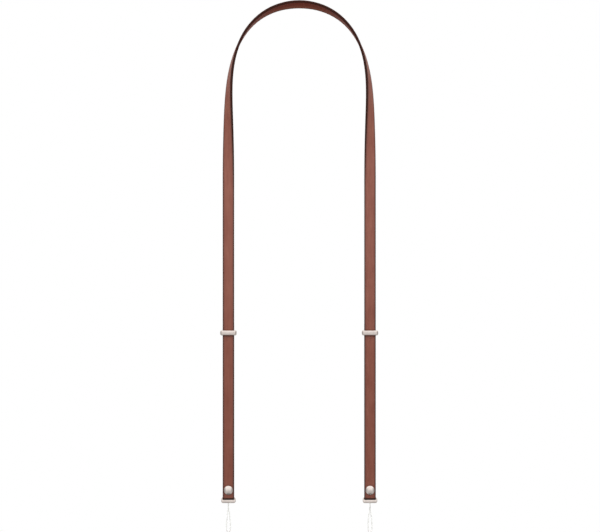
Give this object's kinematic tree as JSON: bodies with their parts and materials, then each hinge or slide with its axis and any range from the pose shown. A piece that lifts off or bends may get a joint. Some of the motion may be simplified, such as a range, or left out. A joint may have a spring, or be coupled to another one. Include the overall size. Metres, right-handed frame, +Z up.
{
  "type": "phone crossbody strap",
  "caption": "Long crossbody phone strap: a flat leather strip hanging in an arch, a sliding metal keeper on each leg, and at each end a snapped fold on a metal ring with a thin cord loop.",
  "frame": {"origin": "middle of the crown's underside, where a shoulder or a hook carries the strap", "axes": "+Z up, the legs hang along -Z; the legs' front faces with the snap caps look along -Y; +X to the right seen from the front"},
  "size_m": [0.1658, 0.0185, 0.5583],
  "materials": {
    "leather": "smooth brown leather with dark painted edges",
    "metal": "polished, slightly warm silver",
    "cord": "white braided cord"
  },
  "bodies": {
    "strap_and_ends": {"strap": "leather", "left_end_ring": "metal", "left_snap_cap": "metal", "left_snap_back": "metal", "left_cord_loop": "cord", "right_end_ring": "metal", "right_snap_cap": "metal", "right_snap_back": "metal", "right_cord_loop": "cord"},
    "left_slide": {"left_keeper": "metal"},
    "right_slide": {"right_keeper": "metal"}
  },
  "joints": [
    {"name": "left_keeper_slide", "type": "slide", "parent": "strap_and_ends", "child": "left_slide", "axis": [0, 0, 1], "range_m": [-0.1565, 0.008]},
    {"name": "right_keeper_slide", "type": "slide", "parent": "strap_and_ends", "child": "right_slide", "axis": [0, 0, 1], "range_m": [-0.1565, 0.008]}
  ]
}
